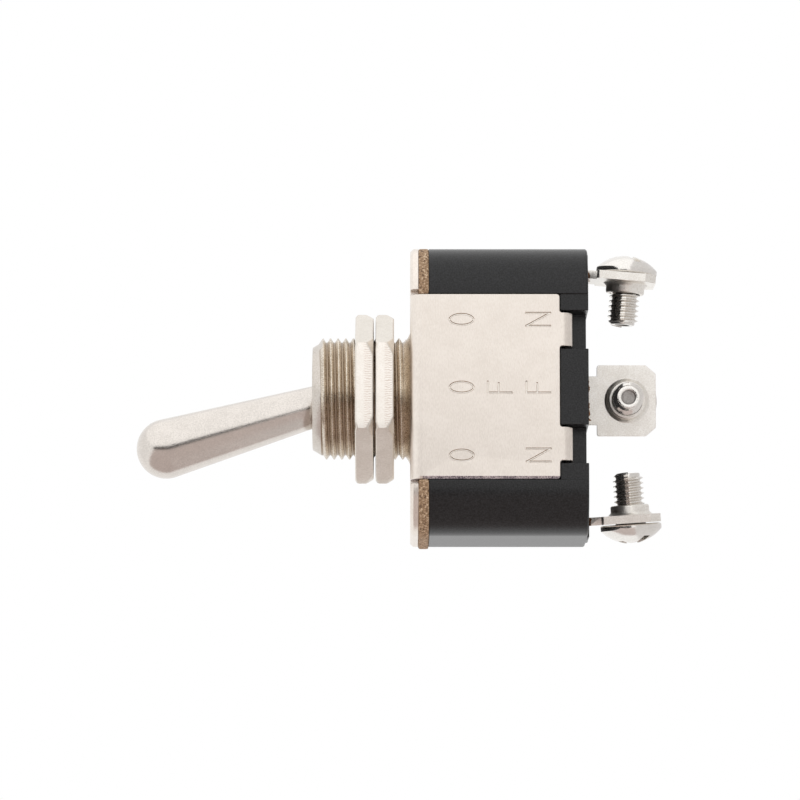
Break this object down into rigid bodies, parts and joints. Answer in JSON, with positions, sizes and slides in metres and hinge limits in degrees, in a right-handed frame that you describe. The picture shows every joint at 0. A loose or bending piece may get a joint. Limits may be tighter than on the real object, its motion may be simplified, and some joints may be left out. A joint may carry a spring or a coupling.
{
  "type": "panel toggle switch",
  "caption": "Panel toggle switch, on-off-on, with bat lever, threaded bushing and nuts, folded steel frame, moulded case and screw terminals.",
  "frame": {"origin": "point where the bushing's axis meets the face of the frame that lies against the panel", "axes": "+Z along the bushing towards the lever, +X along the case's long side, +Y across it; the lever swings in the XZ plane"},
  "size_m": [0.029, 0.0176, 0.0516],
  "materials": {
    "frame_steel": "satin nickel plate",
    "bushing_metal": "nickel plate",
    "nut_metal": "nickel plate",
    "lever_metal": "polished nickel plate",
    "steel_plain": "plain steel",
    "fibre": "speckled fibre",
    "phenolic": "moulded",
    "nylon": "moulded",
    "brass": "plain",
    "silver": "polished",
    "terminal_metal": "nickel plate",
    "screw_metal": "bright nickel plate"
  },
  "bodies": {
    "housing": {"frame": "frame_steel", "gasket": "fibre", "case": "phenolic", "bushing": "bushing_metal", "contact_cradle": "brass", "contact_plate_right": "brass", "contact_plate_left": "brass", "fixed_contact_right": "silver", "fixed_contact_left": "silver", "terminal_common": "terminal_metal", "terminal_right": "terminal_metal", "terminal_left": "terminal_metal"},
    "lever_arm": {"lever": "lever_metal", "pivot_pin": "steel_plain", "plunger_spring": "steel_plain"},
    "plunger_body": {"plunger": "nylon"},
    "rocker_arm": {"rocker": "brass", "moving_contact_right": "silver", "moving_contact_left": "silver"},
    "rear_nut": {"nut_rear": "nut_metal"},
    "front_nut": {"nut_front": "nut_metal"},
    "common_screw": {"screw_common": "screw_metal"},
    "right_screw": {"screw_right": "screw_metal"},
    "left_screw": {"screw_left": "screw_metal"}
  },
  "joints": [
    {"name": "lever_swing", "type": "hinge", "parent": "housing", "child": "lever_arm", "pos_m": [0, 0, 0.0068], "axis": [0, 1, 0], "range_deg": [0, 32.2]},
    {"name": "rocker_tilt", "type": "hinge", "parent": "housing", "child": "rocker_arm", "pos_m": [0, 0, -0.01078], "axis": [0, 1, 0], "range_deg": [-11.2, 0]},
    {"name": "plunger_slide", "type": "slide", "parent": "lever_arm", "child": "plunger_body", "axis": [-0.2773, 0, 0.9608], "range_m": [0, 0.001], "stiffness_N_per_m": 400, "springref_m": -0.0005, "deforming": ["plunger_spring"]},
    {"name": "rear_nut_run", "type": "slide", "parent": "housing", "child": "rear_nut", "axis": [0, 0, 1], "range_m": [-0.0012, 0]},
    {"name": "front_nut_run", "type": "slide", "parent": "housing", "child": "front_nut", "axis": [0, 0, 1], "range_m": [0, 0.0042]},
    {"name": "common_screw_run", "type": "slide", "parent": "housing", "child": "common_screw", "axis": [0.0593, 0.9982, 0], "range_m": [0, 0.004]},
    {"name": "right_screw_run", "type": "slide", "parent": "housing", "child": "right_screw", "axis": [0.9952, -0.0487, -0.0854], "range_m": [0, 0.004]},
    {"name": "left_screw_run", "type": "slide", "parent": "housing", "child": "left_screw", "axis": [-0.9908, 0.1181, -0.0663], "range_m": [0, 0.004]}
  ],
  "couplings": [
    {"joint": "rocker_tilt", "follows": "lever_swing", "ratio": -0.34783}
  ]
}
